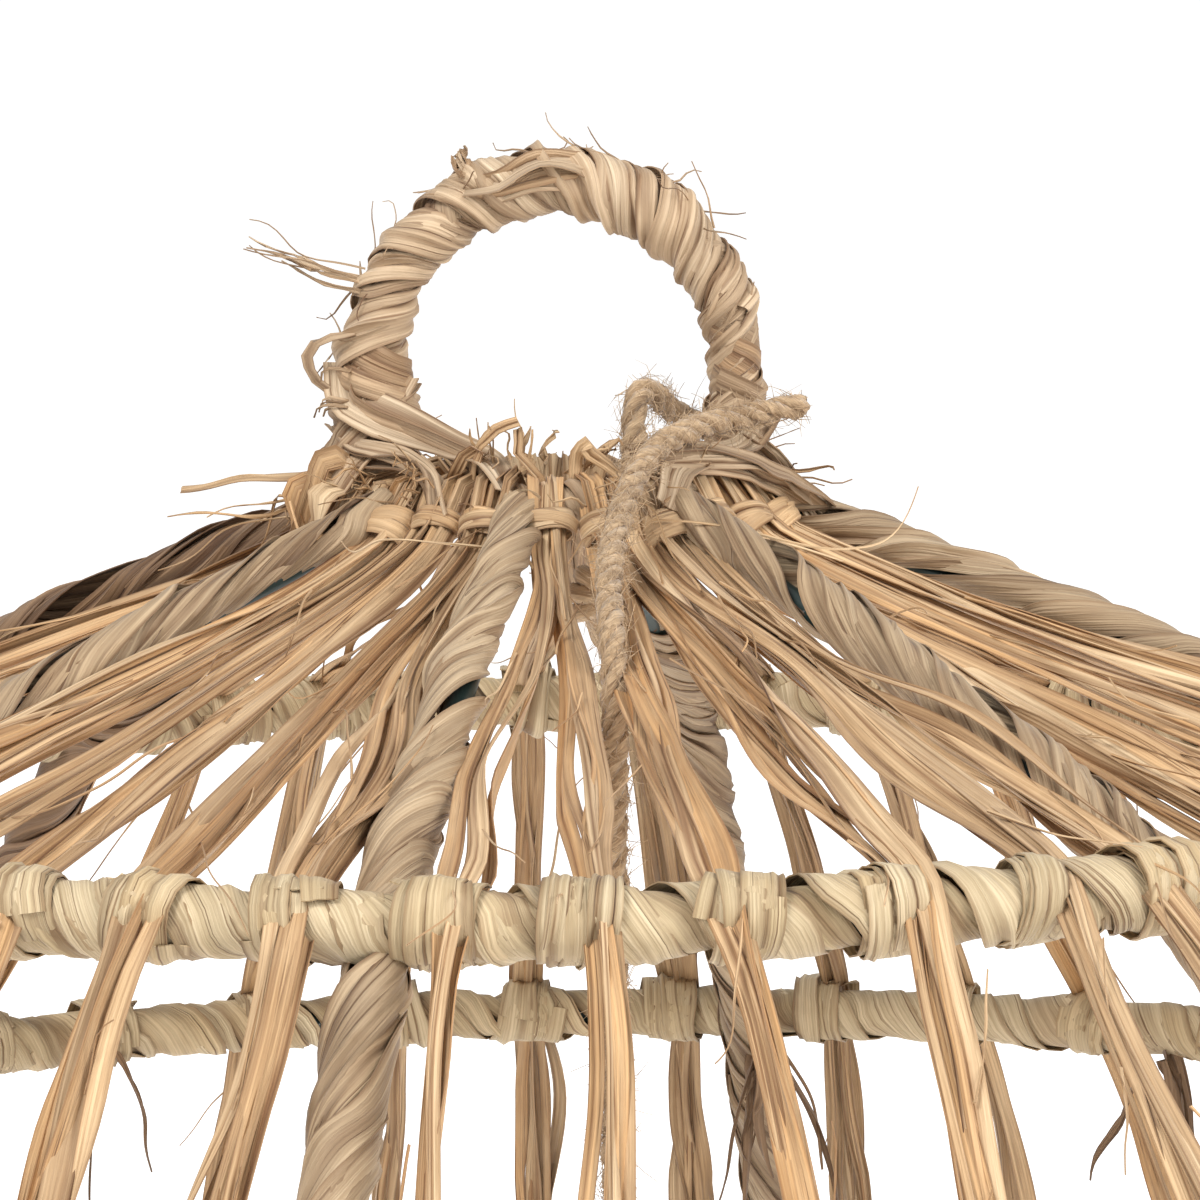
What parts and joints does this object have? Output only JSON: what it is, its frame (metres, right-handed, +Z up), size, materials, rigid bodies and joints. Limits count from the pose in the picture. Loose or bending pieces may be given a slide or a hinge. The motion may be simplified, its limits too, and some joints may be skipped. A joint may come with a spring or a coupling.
{
  "type": "conical openwork raffia hanging shade",
  "caption": "Openwork hat-shaped hanging shade: leaf-wrapped wire ring, collar, spokes and hoops, with folded leaf strands from collar to rim and a jute twine.",
  "frame": {"origin": "under the middle of the shade, on the surface that its rim stands on", "axes": "+Z up through the hanging ring, +X to the right along the ring's plane, -Y to the front"},
  "size_m": [0.5824, 0.5824, 0.2646],
  "materials": {
    "painted_wire": "dark green-black paint, chipped, on round steel wire",
    "ring_leaf": "dry palm leaf strips wound in overlapping folds, satin, with dark creases",
    "spoke_leaf": "grey-beige leaf strips wound in a helix",
    "dark_leaf": "weathered dark brown leaf, frayed",
    "hoop_leaf": "pale yellow leaf strips wound round the hoops",
    "strand_leaf": "bundles of folded straw to orange leaf strips",
    "jute": "fuzzy plied jute twine"
  },
  "bodies": {
    "root": {"hanging_ring_wire": "painted_wire", "collar_wire": "painted_wire", "hoop_1_wire": "painted_wire", "hoop_2_wire": "painted_wire", "rim_wire": "painted_wire", "spoke_wire_1": "painted_wire", "spoke_wire_2": "painted_wire", "spoke_wire_3": "painted_wire", "spoke_wire_4": "painted_wire", "spoke_wire_5": "painted_wire", "spoke_wire_6": "painted_wire", "spoke_wire_7": "painted_wire", "spoke_wire_8": "painted_wire", "hanging_ring_wrap": "ring_leaf", "ring_foot_lashing_left": "ring_leaf", "ring_foot_lashing_right": "ring_leaf", "collar_wrap": "ring_leaf", "spoke_wrap_1": "spoke_leaf", "spoke_wrap_2": "spoke_leaf", "spoke_wrap_3": "spoke_leaf", "spoke_wrap_4": "spoke_leaf", "spoke_wrap_5": "dark_leaf", "spoke_wrap_6": "dark_leaf", "spoke_wrap_7": "dark_leaf", "spoke_wrap_8": "spoke_leaf", "hoop_1_wrap": "hoop_leaf", "hoop_2_wrap": "hoop_leaf", "rim_wrap": "hoop_leaf", "hoop_1_turns": "hoop_leaf", "hoop_2_turns": "hoop_leaf", "rim_turns": "hoop_leaf", "strand_pair_01": "strand_leaf", "strand_pair_02": "strand_leaf", "strand_pair_03": "strand_leaf", "strand_pair_04": "strand_leaf", "strand_pair_05": "strand_leaf", "strand_pair_06": "strand_leaf", "strand_pair_07": "strand_leaf", "strand_pair_08": "strand_leaf", "strand_pair_09": "strand_leaf", "strand_pair_10": "strand_leaf", "strand_pair_11": "strand_leaf", "strand_pair_12": "strand_leaf", "strand_pair_13": "strand_leaf", "strand_pair_14": "strand_leaf", "strand_pair_15": "strand_leaf", "strand_pair_16": "strand_leaf", "strand_pair_17": "strand_leaf", "strand_pair_18": "strand_leaf", "strand_pair_19": "strand_leaf", "strand_pair_20": "strand_leaf", "strand_pair_21": "strand_leaf", "strand_pair_22": "strand_leaf", "strand_pair_23": "strand_leaf", "strand_pair_24": "strand_leaf", "twine": "jute", "twine_loop": "jute", "twine_splice_knot": "jute", "twine_end_knot": "jute"}
  },
  "joints": []
}
